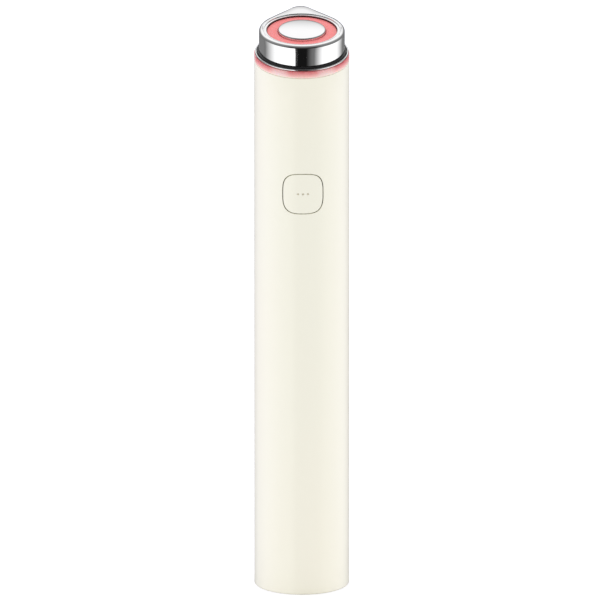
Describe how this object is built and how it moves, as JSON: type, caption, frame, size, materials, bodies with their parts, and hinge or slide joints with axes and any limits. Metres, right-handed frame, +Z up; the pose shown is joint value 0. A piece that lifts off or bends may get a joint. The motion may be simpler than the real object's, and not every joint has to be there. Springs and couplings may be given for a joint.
{
  "type": "facial skincare device",
  "caption": "Slim handheld facial care pen: cream tube, slanted chrome head with a tip, lit rings and centre electrode, square side button and charging port.",
  "frame": {"origin": "centre of the foot, on the surface that the pen stands on", "axes": "+Z up along the tube to the head, -Y the side of the button and the low side of the slanted head, +X to the right seen from the button's side"},
  "size_m": [0.024, 0.0252, 0.1473],
  "materials": {
    "cream_shell": "satin",
    "cream_button": "satin",
    "pink_ring": "gloss",
    "pink_window": "gloss",
    "chrome": "polished",
    "steel": "satin",
    "tinned_metal": "satin",
    "black_plastic": "satin",
    "grey_frame": "matte",
    "circuit_board": "satin",
    "white_board": "satin",
    "white_diffuser": "gloss",
    "led_body": "satin",
    "cell_sleeve": "satin",
    "socket_plastic": "matte",
    "ferrite": "matte",
    "copper_wire": "satin",
    "seal_rubber": "matte",
    "black_insulation": "satin",
    "red_insulation": "satin",
    "white_insulation": "satin"
  },
  "bodies": {
    "root": {"main_housing": "cream_shell", "base_cap": "cream_shell", "mood_light_ring": "pink_ring", "outer_electrode": "chrome", "led_window": "pink_window", "centre_electrode": "chrome", "usb_port_shell": "tinned_metal", "usb_port_tongue": "black_plastic", "charging_board": "circuit_board", "charging_lead": "black_insulation", "inner_frame": "grey_frame", "main_board": "circuit_board", "board_screw_1": "tinned_metal", "board_screw_2": "tinned_metal", "board_screw_3": "tinned_metal", "board_screw_4": "tinned_metal", "controller_chip": "black_plastic", "charger_chip": "black_plastic", "battery_cell": "cell_sleeve", "battery_plus_tab": "tinned_metal", "battery_minus_tab": "tinned_metal", "battery_red_lead": "red_insulation", "battery_black_lead": "black_insulation", "battery_connector": "socket_plastic", "head_connector": "socket_plastic", "transformer_core": "ferrite", "transformer_winding": "copper_wire", "output_capacitor": "black_plastic", "switch_body": "black_plastic", "mode_led_1": "led_body", "mode_led_2": "led_body", "mode_led_3": "led_body", "motor_can": "steel", "motor_lead": "red_insulation", "head_carrier": "black_plastic", "head_seal": "seal_rubber", "led_board": "white_board", "led_board_screw_1": "tinned_metal", "led_board_screw_2": "tinned_metal", "led_board_screw_3": "tinned_metal", "treatment_led_1": "led_body", "treatment_led_2": "led_body", "treatment_led_3": "led_body", "treatment_led_4": "led_body", "treatment_led_5": "led_body", "treatment_led_6": "led_body", "mood_led_1": "led_body", "mood_led_2": "led_body", "mood_led_3": "led_body", "mood_led_4": "led_body", "mood_led_5": "led_body", "mood_led_6": "led_body", "outer_electrode_lead": "red_insulation", "centre_electrode_lead": "white_insulation", "led_lead": "black_insulation"},
    "button": {"button_cap": "cream_button", "switch_plunger": "black_plastic", "button_light_guide": "white_diffuser"},
    "motor_rotor": {"motor_shaft": "steel", "motor_weight": "steel"}
  },
  "joints": [
    {"name": "button_press", "type": "slide", "parent": "root", "child": "button", "axis": [0, 1, 0], "range_m": [0, 0.0004], "stiffness_N_per_m": 600, "springref_m": -0.001},
    {"name": "motor_spin", "type": "hinge", "parent": "root", "child": "motor_rotor", "pos_m": [0, 0.0059, 0.1076], "axis": [0, 0, 1], "continuous": true}
  ]
}
